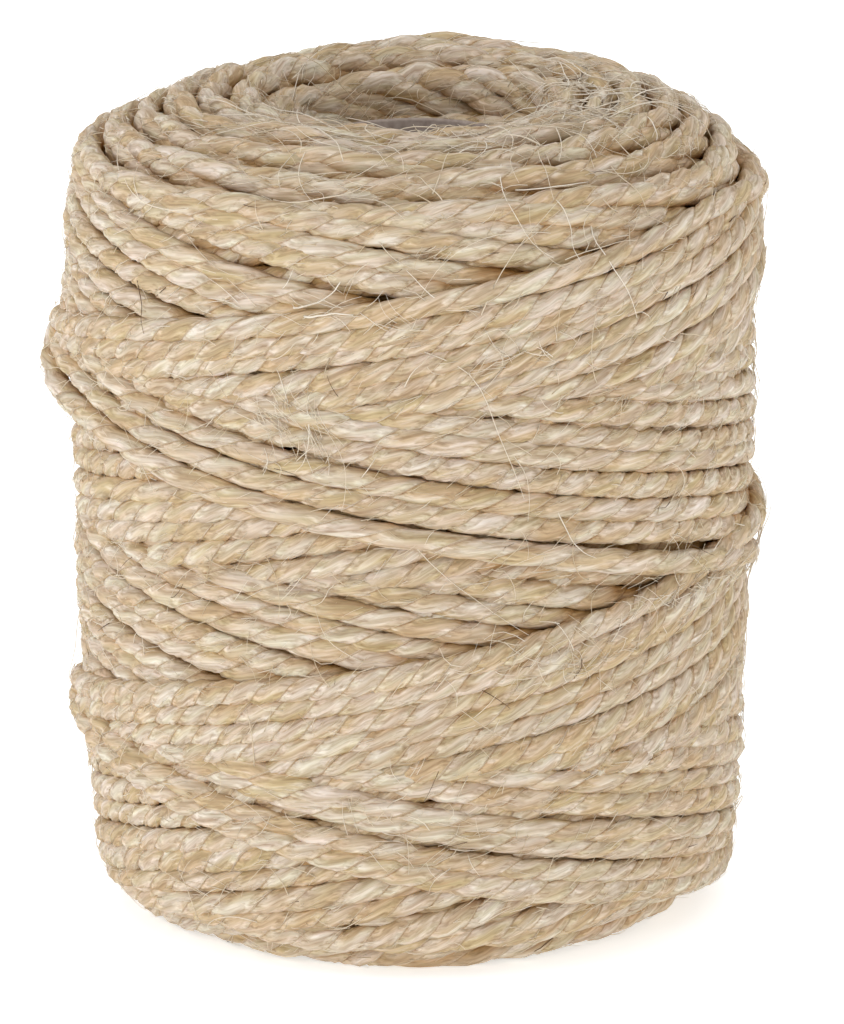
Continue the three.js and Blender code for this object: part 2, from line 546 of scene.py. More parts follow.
def side_radius(form, depth):
    """Radius of the twine's middle line on the side of the roll, as a function of its level."""
    radius, z = form.inset(depth)
    side = (form.z > SIDE_LOW) & (form.z < SIDE_HIGH) & (form.radius > BASE_OUTER)
    side_z, side_line = z[side], radius[side]
    return lambda level: np.interp(level, side_z, side_line)


def stroke_level(time, low, high):
    """Level of the guide that lays the twine: even strokes up and down, rounded at the ends."""
    half = CYCLE_TURNS / 2
    from_bottom = np.abs(np.mod(-time, CYCLE_TURNS) - half)
    middle = math.hypot(half / 2, STROKE_ROUNDING) - STROKE_ROUNDING
    climb = (np.hypot(from_bottom, STROKE_ROUNDING) - STROKE_ROUNDING) / middle / 2
    fall = (np.hypot(half - from_bottom, STROKE_ROUNDING) - STROKE_ROUNDING) / middle / 2
    return low + (high - low) * np.where(from_bottom < half / 2, climb, 1 - fall)


# The winding: where the twine's middle line runs


def support_under(surface, column, level, radius):
    """Height of the winding that a stretch of twine of this radius comes to rest on."""
    reach = 3
    row = np.round((level - MAP_LOW) / MAP_STEP).astype(int)
    columns, rows = cells_around(column, row, MAP_ROWS - 1, along=1, across=reach)
    heights = surface[columns, rows]
    inside = np.maximum(radius[:, None] ** 2 - (around(reach) * MAP_STEP)[None, :] ** 2, 0)
    clearance = radius[:, None] - np.sqrt(inside)
    touching = (heights - clearance[:, None, :]).max(axis=(1, 2))
    return SUPPORT_MIX * touching + (1 - SUPPORT_MIX) * heights.mean(axis=(1, 2))


def press_into(surface, column, level, height, radius):
    """Raises the surface map by a stretch of twine."""
    row = np.round((level - MAP_LOW) / MAP_STEP).astype(int)
    columns, rows = cells_around(column, row, MAP_ROWS - 1, along=2, across=4)
    offset = rows * MAP_STEP + MAP_LOW - level[:, None, None]
    round_top = np.sqrt(np.maximum(radius[:, None, None] ** 2 - offset**2, 0))
    crown = np.where(np.abs(offset) < radius[:, None, None], height[:, None, None] + round_top, 0)
    np.maximum.at(surface, (columns, rows), crown)


def wind_roll(form, twine_radius):
    """Winds the whole roll turn by turn, each turn resting on those below it."""
    rng = np.random.default_rng(SEED)
    lowest, highest = reach_by_radius(form, twine_radius)
    side = side_radius(form, twine_radius)
    turns = int(COVERS * COVER_TURNS)
    time = np.arange(-turns * TURN_SAMPLES, LAST_END * TURN_SAMPLES) / TURN_SAMPLES
    grown = np.minimum(1 + time / turns, 1)
    nominal = FIRST_RADIUS + (GUIDE_RADIUS - FIRST_RADIUS) * grown
    low = lowest(nominal)
    high = np.minimum(highest(nominal), STROKE_HIGH)
    z = stroke_level(time, low, high) + wandering(rng, len(time), GUIDE_WANDERS, 0)
    z = np.clip(z, low, high + OVERSHOOT)
    radius = twine_radius * wandering(rng, len(time), THICKNESS_WANDERS, 1)
    middle = FIRST_RADIUS + (side(z) + OUTER_LIFT - FIRST_RADIUS) * grown
    turn = LAST_TOP_TURN + time
    column = column_of(turn)
    surface = np.full((MAP_COLUMNS, MAP_ROWS), FIRST_RADIUS - twine_radius)
    distance = np.zeros(len(time))
    for start in range(0, len(time), CHUNK_SAMPLES):
        part = slice(start, min(start + CHUNK_SAMPLES, len(time)))
        support = support_under(surface, column[part], z[part], radius[part])
        laid = support + radius[part] * SINK
        taut = smoothed(laid, TAUT_SAMPLES)
        laid = np.maximum(taut, (taut + laid) / 2)
        relief = RELIEF_SHARE * (laid - middle[part])
        laid = middle[part] + np.clip(relief, RELIEF_LOW, RELIEF_HIGH)
        distance[part] = laid
        press_into(surface, column[part], z[part], laid, radius[part])
    # The loose end thins out and is tucked under its neighbours
    left = (time[-1] - time) * TURN_SAMPLES
    tucked = np.clip(1 - left / END_SAMPLES, 0, 1)
    distance = smoothed(distance, EASED_SAMPLES) - END_DEPTH * tucked
    return {"turn": turn, "z": z, "distance": distance, "radius": radius * (1 - tucked / 2),
            "time": time}


def samples_in(zone, form, path):
    """Samples of the twine in a zone, with their rows of the form and heights over it."""
    near = path["distance"] > zone["beyond"]
    near |= (path["z"] > zone["above"]) | (path["z"] < zone["below"])
    index = np.where(near)[0]
    kept = {name: values[index] for name, values in path.items()}
    kept["row"], kept["height"] = form.rows_and_heights(kept["distance"], kept["z"])
    return index, kept


def footprint(form, path, along, across):
    """Map cells under each sample, with the twine's own height over the form in each."""
    column = column_of(path["turn"])
    columns, rows = cells_around(column, path["row"], form.rows - 1, along, across)
    offset = (rows - path["row"][:, None, None]) * MAP_STEP
    radius = path["radius"][:, None, None]
    crown = path["height"][:, None, None] + np.sqrt(np.maximum(radius**2 - offset**2, 0))
    return columns, rows, np.where(np.abs(offset) < radius, crown, NOT_THERE)


def surface_of(form, kept):
    """Map of the height of the winding over the form."""
    surface = np.full((MAP_COLUMNS, form.rows), DEEPEST)
    columns, rows, crown = footprint(form, kept, along=1, across=4)
    np.maximum.at(surface, (columns, rows), crown)
    return surface


def eased_map(surface, round_width, along_width):
    """Map eased round the roll and along its form, with bells of the given widths in cells."""
    wrapped = np.concatenate([surface, surface, surface])
    eased = np.apply_along_axis(smoothed, 0, wrapped, round_width)[MAP_COLUMNS:2 * MAP_COLUMNS]
    return np.apply_along_axis(smoothed, 1, eased, along_width)


def mound_at(place, path):
    """Share of one place of the tables at each point of the roll, in a smooth mound, and how far
    round from its middle the point is."""
    across = (np.mod(path["turn"] * 360 - place["turn"] + 180, 360) - 180) / place["reach"]
    apart = np.hypot(path["distance"] - place["radius"], path["z"] - place["z"])
    return np.exp(-(across**2) - (apart / place["spread"]) ** 2), across


def settle_on_form(form, path):
    """Moves the winding out or in, so that it fills the form and has no wide hollows, but swells
    and slack turns where the tables say."""
    index, kept = samples_in(SETTLED_ZONE, form, path)
    surface = surface_of(form, kept)
    level = np.percentile(surface, CROWN_PERCENT, axis=0)
    shift = smoothed(CROWN_LEVEL - level, CROWN_EASE)[kept["row"]]
    hollows = eased_map(np.maximum(surface, HOLLOW_LIMIT), HOLLOW_ROUND, HOLLOW_ALONG)
    hollows -= hollows.mean(axis=0)
    shift -= LEVELLING * hollows[column_of(kept["turn"]), kept["row"]]
    for swell in SWELLS:
        shift += swell["rise"] * mound_at(swell, kept)[0]
    path["distance"][index] += shift * form.normal[kept["row"], 0]
    path["z"][index] += shift * form.normal[kept["row"], 1]
    for slack in SLACK_TURNS:
        share, across = mound_at(slack, path)
        share = share * np.clip((path["time"] - slack["since"]) / SLACK_START, 0, 1)
        path["distance"] += slack["rise"] * share
        path["z"] -= slack["drop"] * across * share


def settled_winding():
    """The form, and the whole winding settled on it."""
    form = Form()
    path = wind_roll(form, size_of("diameter") / 2)
    settle_on_form(form, path)
    return form, path


# What shows of the winding


def outer_turns(form, path, depth):
    """Samples near the outside, whether each of them shows, and the map of their surface."""
    index, kept = samples_in(SHOWN_ZONE, form, path)
    close = kept["height"] > DEEPEST
    index = index[close]
    kept = {name: values[close] for name, values in kept.items()}
    surface = surface_of(form, kept)
    columns, rows, crown = footprint(form, kept, along=0, across=3)
    shows = (crown > surface[columns, rows] - depth).any(axis=(1, 2))
    return index, shows, surface


def crest_map(surface, reach):
    """Surface map filled over the furrows between turns, for fibres to lie on."""
    crest = surface.copy()
    ways = ((1, 0), (-1, 0), (1, 1), (-1, 1))
    for _ in range(reach):
        crest = np.maximum.reduce(
            [crest] + [np.roll(crest, step, axis) - CREST_FALL for step, axis in ways])
    for _ in range(reach + 2):
        crest = sum((np.roll(crest, step, axis) for step, axis in ways), crest) / (len(ways) + 1)
    return crest


def runs_of(index, shows):
    """Unbroken runs of shown samples, each a little longer than what shows of it."""
    marked = np.zeros(index.max() + RUN_MARGIN + 2, bool)
    for shift in around(RUN_MARGIN):
        marked[np.clip(index[shows] + shift, 0, len(marked) - 1)] = True
    marked[index.max() + 1:] = False
    edges = np.diff(np.concatenate([[0], marked.astype(int), [0]]))
    starts, stops = np.where(edges == 1)[0], np.where(edges == -1)[0]
    runs = []
    for start, stop in zip(starts, stops):
        if stop - start < SHORTEST_RUN:
            continue
        shares = int(math.ceil((stop - start) / LONGEST_RUN))
        cuts = np.linspace(start, stop - 1, shares + 1).astype(int)
        runs += [(first, last + 1) for first, last in zip(cuts[:-1], cuts[1:])]
    return runs


def piece_groups(path, runs):
    """Runs shared out among pieces of the top, the base and the side, none of them too large."""
    groups, filled = {}, {}
    for start, stop in runs:
        far = path["distance"][start:stop].mean()
        high = path["z"][start:stop].mean() > TOP_ABOVE
        place = "top" if high and far < TOP_INSIDE else "base" if far < BASE_INSIDE else "side"
        filled[place] = filled.get(place, 0) + stop - start
        name = "twine_%s_%d" % (place, 1 + filled[place] // PIECE_SAMPLES)
        groups.setdefault(name, []).append((start, stop))
    return groups


def points_of(path, start, stop):
    """Points of the twine's middle line in millimetres, from one sample to another."""
    angle = path["turn"][start:stop] * FULL_TURN
    distance = path["distance"][start:stop]
    return np.stack([distance * np.sin(angle), -distance * np.cos(angle), path["z"][start:stop]], 1)


# Sweeping the twine


class Twist:
    """Section of the two ply twine, and how it turns and varies along the whole length."""

    def __init__(self, path, lay_length):
        rng = np.random.default_rng(SEED + 1)
        points = points_of(path, 0, len(path["z"]))
        step = np.linalg.norm(np.diff(points, axis=0), axis=1)
        self.length = np.concatenate([[0], np.cumsum(step)])
        pace = wandering(rng, len(points), TWIST_WANDERS, 1)
        turned = np.concatenate([[0], np.cumsum(step * pace[1:])])
        self.angle = -turned / lay_length * FULL_TURN
        degrees = [corner["angle"] for corner in PLY_SECTION]
        self.corner_angle = np.radians(degrees + [angle + 180 for angle in degrees])
        self.corner_radius = np.array([corner["radius"] for corner in PLY_SECTION] * 2)
        self.furrow = np.array([corner["furrow"] for corner in PLY_SECTION] * 2)
        self.first_ply = self.corner_angle < math.pi
        side = np.where(self.first_ply, 1.0, -1.0)
        self.ply_offset = side * PLY_CENTRE
        self.ply_start = np.outer(side, PLY_PATTERN)
        lumps = np.stack([wander(rng, len(points), *LUMP_WANDER) for _ in side], 1)
        self.lumps = lumps * (1 + self.furrow)
        self.lean = wander(rng, len(points), *LEAN_WANDER)


def depth_under(form, crest, corners, turn, middle):
    """How far each corner lies under the crests of the turns around it, ring by ring."""
    row, _ = form.rows_and_heights(np.hypot(middle[:, 0], middle[:, 1]), middle[:, 2])
    far = np.hypot(corners[:, :, 0], corners[:, :, 1]) - form.radius[row][:, None]
    up = corners[:, :, 2] - form.z[row][:, None]
    height = far * form.normal[row, 0][:, None] + up * form.normal[row, 1][:, None]
    return np.clip(crest[column_of(turn), row][:, None] - height, 0, PAINTED_SHADE_DEEPEST)


def sweep_run(form, crest, path, twist, start, stop, spacing):
    """Rings of the twine along one run: their corners, and each corner's place in the twine."""
    points = points_of(path, start, stop)
    length = twist.length[start:stop]
    count = max(int((length[-1] - length[0]) / spacing), FEWEST_RINGS)
    even = np.linspace(length[0], length[-1], count + 1)

    def along(values):
        return np.interp(even, length, values)

    middle = np.stack([along(points[:, axis]) for axis in range(3)], 1)
    radius = along(path["radius"][start:stop])[:, None]
    angle = along(twist.angle[start:stop])[:, None]
    sample = along(np.arange(start, stop)).astype(int)
    tangent = unit(np.gradient(middle, axis=0))
    outward = middle * (1, 1, 0)
    outward = unit(outward - (outward * tangent).sum(1)[:, None] * tangent)
    aside = np.cross(tangent, outward)
    # One ply is fuller than the other, now this one and now that one
    lean = along(twist.lean[start:stop])[:, None]
    from_furrow = np.where(twist.first_ply, twist.corner_angle, FULL_TURN - twist.corner_angle)
    corner = angle + twist.corner_angle + from_furrow * lean
    size = radius * twist.corner_radius * (1 + twist.lumps[sample])
    out = PRESSED_FLAT * size * np.cos(corner)
    across = PRESSED_WIDE * size * np.sin(corner)
    corners = middle[:, None, :] + out[:, :, None] * outward[:, None, :]
    corners = corners + across[:, :, None] * aside[:, None, :]
    corners[:, :, 2] = np.maximum(corners[:, :, 2], 0)
    # The pattern of the fibres follows each ply, and turns back against the twist
    own_x = size * np.cos(twist.corner_angle)
    own_y = size * np.sin(twist.corner_angle) - radius * twist.ply_offset
    back = FIBRE_UNTWIST * angle
    lay = np.empty(corners.shape)
    lay[:, :, 0] = even[:, None]
    lay[:, :, 1] = own_x * np.cos(back) - own_y * np.sin(back) + twist.ply_start[:, 0]
    lay[:, :, 2] = own_x * np.sin(back) + own_y * np.cos(back) + twist.ply_start[:, 1]
    # How much of each corner is furrow, which the material paints with shade
    furrow = np.broadcast_to(twist.furrow, corners.shape[:2])
    # Depth under the crests, which the material paints with shade between the turns
    sunk = depth_under(form, crest, corners, along(path["turn"][start:stop]), middle)
    return {"corners": corners, "lay": lay, "furrow": furrow, "sunk": sunk}


def tube_faces(rings, sides, first):
    """Four-sided faces between the rings of one tube, wound to face outwards."""
    ring = np.arange(rings - 1)[:, None] * sides + first
    side = np.arange(sides)[None, :]
    after = (side + 1) % sides
    quads = np.stack([ring + side, ring + after, ring + sides + after, ring + sides + side], -1)
    return quads.reshape(-1, 4)


def piece_of_tubes(name, tubes, attributes):
    """One piece of many closed tubes, with values at their corners. Each tube is an array of rings
    of corners, in millimetres round the core's axis."""
    loops, counts, round_faces, first = [], [], [], 0
    for tube in tubes:
        rings, sides = tube.shape[:2]
        quads = tube_faces(rings, sides, first)
        loops.append(quads.ravel())
        counts += [4] * len(quads)
        round_faces += [True] * len(quads) + [False] * 2
        loops.append(first + np.arange(sides)[::-1])
        loops.append(first + (rings - 1) * sides + np.arange(sides))
        counts += [sides, sides]
        first += rings * sides
    corners = np.concatenate([tube.reshape(-1, 3) for tube in tubes]) * MM + axis_shift()
    loops, counts = np.concatenate(loops), np.array(counts)
    mesh = bpy.data.meshes.new(name)
    mesh.vertices.add(len(corners))
    mesh.vertices.foreach_set("co", corners.ravel().astype(np.float32))
    mesh.loops.add(len(loops))
    mesh.loops.foreach_set("vertex_index", loops.astype(np.int32))
    mesh.polygons.add(len(counts))
    starts = np.concatenate([[0], np.cumsum(counts)[:-1]])
    mesh.polygons.foreach_set("loop_start", starts.astype(np.int32))
    mesh.polygons.foreach_set("use_smooth", np.array(round_faces))
    for label, values in attributes.items():
        kind, field = ("FLOAT_VECTOR", "vector") if values[0].ndim == 3 else ("FLOAT", "value")
        values = np.concatenate([each.ravel() for each in values])
        attribute = mesh.attributes.new(label, kind, "POINT")
        attribute.data.foreach_set(field, values.astype(np.float32))
    mesh.update(calc_edges=True)
    mesh.validate()
    return linked(name, mesh)


# Materials


def add_node(tree, kind, inputs=None, stops=(), **settings):
    """Adds a node, gives it its settings and colour stops, and sets or links its inputs."""
    node = tree.nodes.new(kind)
    for name, value in settings.items():
        setattr(node, name, value)
    # A colour ramp comes with two stops
    for _ in stops[2:]:
        node.color_ramp.elements.new(0.5)
    for index, (place, colour) in enumerate(stops):
        node.color_ramp.elements[index].position = place
        node.color_ramp.elements[index].color = colour
    for name, value in (inputs or {}).items():
        socket = node.inputs[name]
        if isinstance(value, bpy.types.NodeSocket):
            tree.links.new(value, socket)
        else:
            socket.default_value = value
    return node


def new_material(name):
    """An empty material and its node tree."""
    material = bpy.data.materials.new(name)
    material.use_nodes = True
    material.node_tree.nodes.clear()
    return material, material.node_tree


def finish_material(tree, inputs, **settings):
    """Ends a material with its shader."""
    shader = add_node(tree, "ShaderNodeBsdfPrincipled", inputs, **settings)
    add_node(tree, "ShaderNodeOutputMaterial", {"Surface": shader.outputs["BSDF"]})


def sisal_material():
    """Laid sisal: flat pale fibres with a dull waxy sheen, drawn out along each ply."""
    material, tree = new_material("laid_sisal_twine")
    place = add_node(tree, "ShaderNodeAttribute", attribute_name="lay").outputs["Vector"]
    in_furrow = add_node(tree, "ShaderNodeAttribute", attribute_name="furrow").outputs["Fac"]
    sunk = add_node(tree, "ShaderNodeAttribute", attribute_name="sunk").outputs["Fac"]
    # Cycles per millimetre along the twine and across it. Bundles of fibre are nearly a
    # millimetre wide. Single fibres are a fifth of one, too fine to show, so two of them go into
    # each streak. Batches of fibre run on for centimetres, and are spun in side by side.
    patterns = {}
    for name, along, across, detail, rough in (
            ("bundles", 0.06, 1.25, 2.0, 0.55), ("fibres", 0.08, 2.4, 2.0, 0.6),
            ("batches", 0.05, 0.33, 1.0, 0.5), ("hues", 0.06, 0.6, 1.0, 0.5),
            ("unripe", 0.06, 1.1, 1.0, 0.5), ("rusty", 0.1, 1.6, 1.0, 0.5),
            ("bridges", 0.25, 0.7, 3.0, 0.7)):
        stretched = add_node(
            tree, "ShaderNodeMapping", {"Vector": place, "Scale": (along, across, across)})
        noise = add_node(
            tree, "ShaderNodeTexNoise",
            {"Vector": stretched.outputs["Vector"], "Scale": 1.0, "Detail": detail,
             "Roughness": rough})
        patterns[name] = noise.outputs["Fac"]
    # Painted shade along the furrow between the plies, broken where fibres bridge the furrow
    painted_furrow_shade = add_node(
        tree, "ShaderNodeMath", {0: patterns["bridges"], 1: in_furrow}, operation="MULTIPLY")
    # Painted shade: far down between the turns the colour is darkened and warmed to tan, as light
    # that has passed through and off many fibres would be
    deep = add_node(tree, "ShaderNodeMapRange", {
        "Value": sunk, "From Min": PAINTED_SHADE_BEGINS, "From Max": PAINTED_SHADE_FULL, "To Min": 0.0,
        "To Max": 1.0})
    colours = {}
    for name, value, stops in (
            ("straw", patterns["bundles"], (
                (0.3, colour_of("straw_shade")), (0.55, colour_of("straw_middle")),
                (0.8, colour_of("straw_light")))),
            ("pale", patterns["bundles"], (
                (0.3, colour_of("pale_shade")), (0.55, colour_of("pale_middle")),
                (0.8, colour_of("pale_light")))),
            ("pale_share", patterns["batches"], ((0.36, BLACK), (0.64, WHITE))),
            ("streaks", patterns["fibres"], ((0.3, colour_of("streak")), (0.55, WHITE))),
            ("hue", patterns["hues"], (
                (0.36, colour_of("rosy")), (0.54, WHITE), (0.68, colour_of("mossy")))),
            ("unripe_share", patterns["unripe"], ((0.66, BLACK), (0.78, linear("4C4C4C")))),
            ("rusty_share", patterns["rusty"], ((0.69, BLACK), (0.78, linear("777777")))),
            # Painted shade: along the furrow, and far down between the turns
            ("dark", painted_furrow_shade.outputs[0], ((0.34, WHITE), (0.68, colour_of("furrow")))),
            ("deep_painted_shade", deep.outputs["Result"], ((0.0, WHITE), (0.8, colour_of("deep"))))):
        ramp = add_node(tree, "ShaderNodeValToRGB", {"Fac": value}, stops=stops)
        colours[name] = ramp.outputs["Color"]
    colour = colours["straw"]
    for share, over, blend in (
            (colours["pale_share"], colours["pale"], "MIX"),
            (0.5, colours["streaks"], "MULTIPLY"),
            (1.0, colours["hue"], "MULTIPLY"),
            (colours["unripe_share"], colour_of("green_tint"), "MIX"),
            (colours["rusty_share"], colour_of("rust_tint"), "MIX"),
            (1.0, colours["dark"], "MULTIPLY"),
            (1.0, colours["deep_painted_shade"], "MULTIPLY")):
        colour = add_node(
            tree, "ShaderNodeMix", {0: share, 6: colour, 7: over}, data_type="RGBA",
            blend_type=blend).outputs[2]
    height = add_node(
        tree, "ShaderNodeMath", {0: patterns["bundles"], 1: patterns["fibres"]}, operation="ADD")
    bump = add_node(
        tree, "ShaderNodeBump",
        {"Height": height.outputs[0], "Strength": 0.42, "Distance": 0.3 * MM})
    finish_material(
        tree,
        {"Base Color": colour, "Roughness": 0.6, "Specular IOR Level": 0.3,
         "Subsurface Weight": 0.35, "Subsurface Radius": (1.0, 0.62, 0.3),
         "Subsurface Scale": 0.8 * MM, "Normal": bump.outputs["Normal"]},
        subsurface_method="BURLEY")
    return material


def fibre_material():
    """Single sisal fibre: stiff, pale and slightly glossy, with a few darker ones."""
    material, tree = new_material("loose_sisal_fibre")
    tone = add_node(tree, "ShaderNodeAttribute", attribute_name="tone")
    colour = add_node(
        tree, "ShaderNodeValToRGB", {"Fac": tone.outputs["Fac"]},
        stops=((0.0, colour_of("loose_dark")), (0.25, colour_of("loose_straw")),
               (1.0, colour_of("loose_pale"))))
    finish_material(
        tree,
        {"Base Color": colour.outputs["Color"], "Roughness": 0.5, "Specular IOR Level": 0.45})
    return material


def inner_material():
    """Turns deep in the roll: sisal painted dark brown, as painted shade between the turns."""
    material, tree = new_material("inner_sisal_turns_painted_shade")
    place = add_node(tree, "ShaderNodeTexCoord").outputs["Object"]
    # Level streaks a millimetre high and eight long
    stretched = add_node(
        tree, "ShaderNodeMapping", {"Vector": place, "Scale": (120, 120, 900)})
    streaks = add_node(
        tree, "ShaderNodeTexNoise", {"Vector": stretched.outputs["Vector"], "Scale": 1.0})
    colour = add_node(
        tree, "ShaderNodeValToRGB", {"Fac": streaks.outputs["Fac"]},
        stops=((0.3, colour_of("inner_painted_shade_dark")), (0.7, colour_of("inner_painted_shade_light"))))
    bump = add_node(
        tree, "ShaderNodeBump",
        {"Height": streaks.outputs["Fac"], "Strength": 0.8, "Distance": 0.8 * MM})
    finish_material(
        tree,
        {"Base Color": colour.outputs["Color"], "Roughness": 0.9,
         "Normal": bump.outputs["Normal"]})
    return material


def card_material():
    """Spiral wound grey card: matte and faintly mottled, with a fine line at each seam."""
    material, tree = new_material("wound_grey_card")
    place = add_node(tree, "ShaderNodeTexCoord").outputs["Object"]
    parts = add_node(tree, "ShaderNodeSeparateXYZ", {"Vector": place})
    round_about = add_node(
        tree, "ShaderNodeMath", {0: parts.outputs["Y"], 1: parts.outputs["X"]},
        operation="ARCTAN2")
    turns = add_node(
        tree, "ShaderNodeMath", {0: round_about.outputs[0], 1: 1 / FULL_TURN},
        operation="MULTIPLY")
    climb = add_node(
        tree, "ShaderNodeMath",
        {0: parts.outputs["Z"], 1: 1 / (CARD_CLIMB * MM), 2: turns.outputs[0]},
        operation="MULTIPLY_ADD")
    strip = add_node(tree, "ShaderNodeMath", {0: climb.outputs[0]}, operation="FRACT")
    seam = add_node(
        tree, "ShaderNodeValToRGB", {"Fac": strip.outputs[0]},
        stops=((0.0, BLACK), (0.02, WHITE)))
    # Mottle of about a millimetre
    mottle = add_node(tree, "ShaderNodeTexNoise", {"Vector": place, "Scale": 900.0, "Detail": 4.0})
    grey = add_node(
        tree, "ShaderNodeValToRGB", {"Fac": mottle.outputs["Fac"]},
        stops=((0.3, colour_of("card_dark")), (0.7, colour_of("card_light"))))
    colour = add_node(
        tree, "ShaderNodeMix", {0: 0.4, 6: grey.outputs["Color"], 7: seam.outputs["Color"]},
        data_type="RGBA", blend_type="MULTIPLY")
    bump = add_node(
        tree, "ShaderNodeBump",
        {"Height": seam.outputs["Color"], "Strength": 0.4, "Distance": 0.2 * MM})
    finish_material(
        tree,
        {"Base Color": colour.outputs[2], "Roughness": 0.86, "Specular IOR Level": 0.3,
         "Normal": bump.outputs["Normal"]})
    return material


def floor_material():
    """Matte white acrylic, lit a little from below as on a light table."""
    material, tree = new_material("white_acrylic_floor")
    finish_material(
        tree,
        {"Base Color": colour_of("floor"), "Roughness": 0.95, "Specular IOR Level": 0.1,
         "Emission Color": (0.95, 0.99, 1.0, 1), "Emission Strength": 0.52})
    return material


# Pieces


def axis_shift():
    """The roll's core stands a little off the middle of the part's box."""
    low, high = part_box("core_tube")
    return np.array([(low.x + high.x) / 2, (low.y + high.y) / 2, 0])


def linked(name, data):
    """A new object of the scene, at its origin."""
    thing = bpy.data.objects.new(name, data)
    bpy.context.scene.collection.objects.link(thing)
    return thing


def looking_at(name, data, target, turn, rise, away):
    """A lamp or a camera that looks at the target from a direction, in degrees round from the
    front and up from level, and from some metres away."""
    turn, rise = math.radians(turn), math.radians(rise)
    way = Vector(
        (math.sin(turn) * math.cos(rise), -math.cos(turn) * math.cos(rise), math.sin(rise)))
    thing = linked(name, data)
    thing.location = target + way * away
    thing.rotation_euler = (-way).to_track_quat("-Z", "Y").to_euler()
    return thing


def revolved(outline, steps):
    """Closed outline of (radius, level) in metres, turned once round the axis."""
    shape = bmesh.new()
    line = [shape.verts.new((far, 0, level)) for far, level in outline]
    edges = [shape.edges.new(ends) for ends in zip(line, line[1:] + line[:1])]
    bmesh.ops.spin(
        shape, geom=line + edges, cent=(0, 0, 0), axis=(0, 0, 1), angle=FULL_TURN, steps=steps,
        use_merge=True)
    bmesh.ops.remove_doubles(shape, verts=shape.verts, dist=MERGE_DISTANCE * MM)
    bmesh.ops.recalc_face_normals(shape, faces=shape.faces)
    return shape


def finished_piece(name, shape):
    """A smooth piece made of the shape, set round the axis of the core."""
    bmesh.ops.translate(shape, verts=shape.verts, vec=axis_shift())
    for face in shape.faces:
        face.smooth = True
    mesh = bpy.data.meshes.new(name)
    shape.to_mesh(mesh)
    shape.free()
    return linked(name, mesh)


def dress(piece, material, node):
    """Gives a piece its material and its place in the frame."""
    piece.data.materials.append(material)
    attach(piece, "root")
    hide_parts(node)


class ROLL_OT_wind_twine(bpy.types.Operator):
    """Wind the twine and sweep the turns that show"""

    bl_idname = "roll.wind_twine"
    bl_label = "Wind the twine"

    def execute(self, context):
        form, path = settled_winding()
        index, shows, surface = outer_turns(form, path, size_of("hidden_depth"))
        crest = crest_map(surface, CREST_REACH)
        twist = Twist(path, size_of("lay_length"))
        spacing = size_of("ring_spacing")
        material = sisal_material()
        for name, runs in piece_groups(path, runs_of(index, shows)).items():
            swept = [sweep_run(form, crest, path, twist, start, stop, spacing)
                     for start, stop in runs]
            tubes = [run["corners"] for run in swept]
            attributes = {label: [run[label] for run in swept]
                          for label in ("lay", "furrow", "sunk")}
            dress(piece_of_tubes(name, tubes, attributes), material, "twine_winding")
        return {"FINISHED"}


class ROLL_OT_inner_turns(bpy.types.Operator):
    """Fill the inside of the roll behind the swept turns"""

    bl_idname = "roll.inner_turns"
    bl_label = "Inner turns"

    def execute(self, context):
        radius, level = Form().inset(LINING_DEPTH)
        radius = np.maximum(radius[::LINING_ROW_STEP], LINING_RADIUS)
        level = np.clip(level[::LINING_ROW_STEP], LINING_LOW, LINING_HIGH)
        outline = np.stack([radius, level], 1)
        bore = [(LINING_RADIUS, LINING_MIDDLE), (LINING_RADIUS, LINING_LOW)]
        shape = revolved(np.concatenate([outline, bore]) * MM, LINING_STEPS)
        piece = finished_piece("twine_inner_turns", shape)
        dress(piece, inner_material(), "twine_winding")
        return {"FINISHED"}


